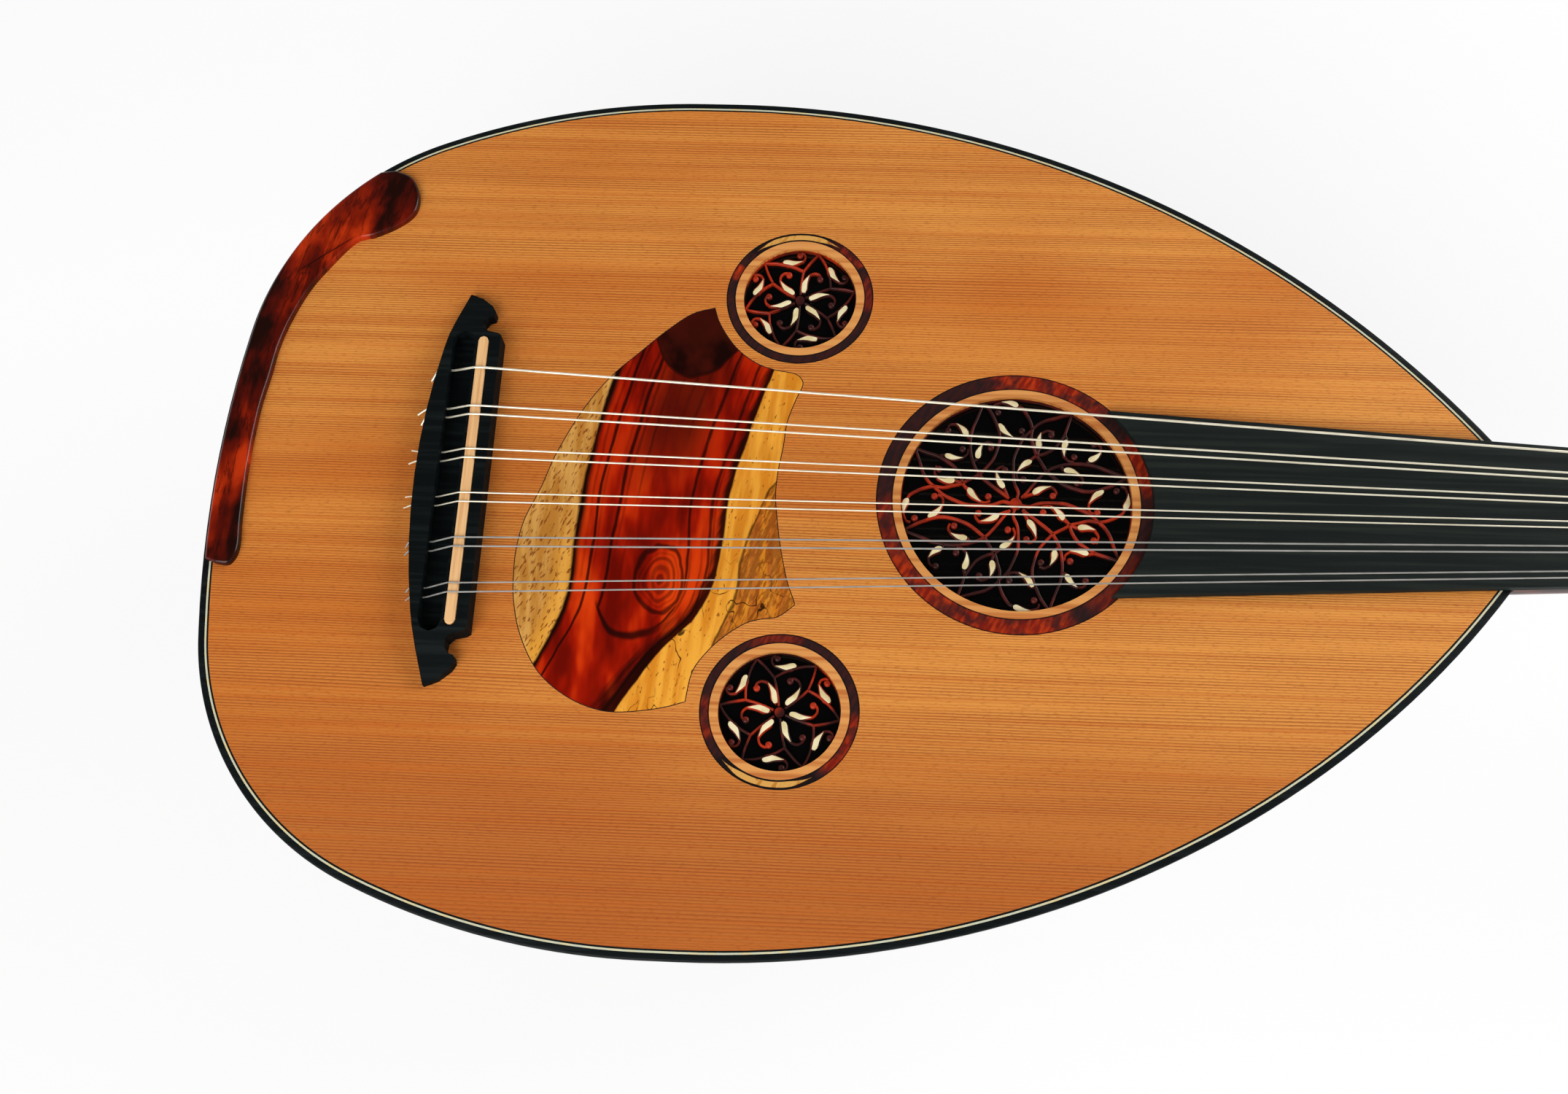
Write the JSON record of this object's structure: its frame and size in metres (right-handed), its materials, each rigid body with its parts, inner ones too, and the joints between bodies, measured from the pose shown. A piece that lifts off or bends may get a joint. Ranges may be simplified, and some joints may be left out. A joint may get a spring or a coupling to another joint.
{
  "type": "oud",
  "caption": "Short-necked lute with a ribbed bowl, carved sound-hole rosettes, a fixed bridge and a bent-back pegbox whose friction pegs turn.",
  "frame": {"origin": "middle of the flat facet under the bowl, where the instrument rests", "axes": "+X towards the pegbox, +Y towards the bass side, +Z out of the soundboard's face"},
  "size_m": [0.8365, 0.3492, 0.189],
  "materials": {
    "rib_red": "polished",
    "rib_dark": "polished",
    "spruce": "bare",
    "ebony": "satin",
    "cedar": "satin",
    "bone": "satin",
    "ring_wood": "polished",
    "rosette_wood": "polished",
    "pickguard_wood": "satin",
    "armrest_wood": "polished",
    "saddle_wood": "satin",
    "mahogany": "polished",
    "wound_silver": "wound wire",
    "nylon": "polished"
  },
  "bodies": {
    "instrument": {"rib_01": "rib_red", "rib_02": "rib_dark", "rib_03": "rib_red", "rib_04": "rib_dark", "rib_05": "rib_red", "rib_06": "rib_dark", "rib_07": "rib_red", "rib_08": "rib_dark", "rib_09": "rib_red", "rib_10": "rib_dark", "rib_11": "rib_red", "rib_12": "rib_dark", "rib_13": "rib_red", "tail_block": "spruce", "neck_block": "spruce", "end_clasp": "ebony", "soundboard": "cedar", "edge_binding": "ebony", "purfling": "bone", "ring_main": "ring_wood", "ring_bass": "ring_wood", "ring_treble": "ring_wood", "rosette_main": "rosette_wood", "rosette_bass": "rosette_wood", "rosette_treble": "rosette_wood", "brace_lower": "spruce", "brace_middle": "spruce", "brace_upper": "spruce", "pickguard": "pickguard_wood", "armrest": "armrest_wood", "bridge": "ebony", "bridge_saddle": "saddle_wood", "fingerboard": "ebony", "neck": "mahogany", "nut": "bone", "string_1_bass": "wound_silver", "string_2a": "wound_silver", "string_2b": "wound_silver", "string_3a": "wound_silver", "string_3b": "wound_silver", "string_4a": "wound_silver", "string_4b": "wound_silver", "string_5a": "nylon", "string_5b": "nylon", "string_6a": "nylon", "string_6b": "nylon", "pegbox_wall_bass": "ebony", "pegbox_wall_treble": "ebony", "pegbox_back": "ebony"},
    "peg_01": {"peg_01": "ebony"},
    "peg_02": {"peg_02": "ebony"},
    "peg_03": {"peg_03": "ebony"},
    "peg_04": {"peg_04": "ebony"},
    "peg_05": {"peg_05": "ebony"},
    "peg_06": {"peg_06": "ebony"},
    "peg_07": {"peg_07": "ebony"},
    "peg_08": {"peg_08": "ebony"},
    "peg_09": {"peg_09": "ebony"},
    "peg_10": {"peg_10": "ebony"},
    "peg_11": {"peg_11": "ebony"}
  },
  "joints": [
    {"name": "peg_01_turn", "type": "hinge", "parent": "instrument", "child": "peg_01", "pos_m": [0.51315, 0, 0.14443], "axis": [0, 1, 0], "continuous": true},
    {"name": "peg_02_turn", "type": "hinge", "parent": "instrument", "child": "peg_02", "pos_m": [0.52405, 0, 0.13298], "axis": [0, -1, 0], "continuous": true},
    {"name": "peg_03_turn", "type": "hinge", "parent": "instrument", "child": "peg_03", "pos_m": [0.53495, 0, 0.12154], "axis": [0, 1, 0], "continuous": true},
    {"name": "peg_04_turn", "type": "hinge", "parent": "instrument", "child": "peg_04", "pos_m": [0.54584, 0, 0.11009], "axis": [0, -1, 0], "continuous": true},
    {"name": "peg_05_turn", "type": "hinge", "parent": "instrument", "child": "peg_05", "pos_m": [0.55674, 0, 0.09864], "axis": [0, 1, 0], "continuous": true},
    {"name": "peg_06_turn", "type": "hinge", "parent": "instrument", "child": "peg_06", "pos_m": [0.56764, 0, 0.08719], "axis": [0, -1, 0], "continuous": true},
    {"name": "peg_07_turn", "type": "hinge", "parent": "instrument", "child": "peg_07", "pos_m": [0.57854, 0, 0.07574], "axis": [0, 1, 0], "continuous": true},
    {"name": "peg_08_turn", "type": "hinge", "parent": "instrument", "child": "peg_08", "pos_m": [0.58944, 0, 0.06429], "axis": [0, -1, 0], "continuous": true},
    {"name": "peg_09_turn", "type": "hinge", "parent": "instrument", "child": "peg_09", "pos_m": [0.60033, 0, 0.05284], "axis": [0, 1, 0], "continuous": true},
    {"name": "peg_10_turn", "type": "hinge", "parent": "instrument", "child": "peg_10", "pos_m": [0.61123, 0, 0.0414], "axis": [0, -1, 0], "continuous": true},
    {"name": "peg_11_turn", "type": "hinge", "parent": "instrument", "child": "peg_11", "pos_m": [0.62213, 0, 0.02995], "axis": [0, 1, 0], "continuous": true}
  ]
}
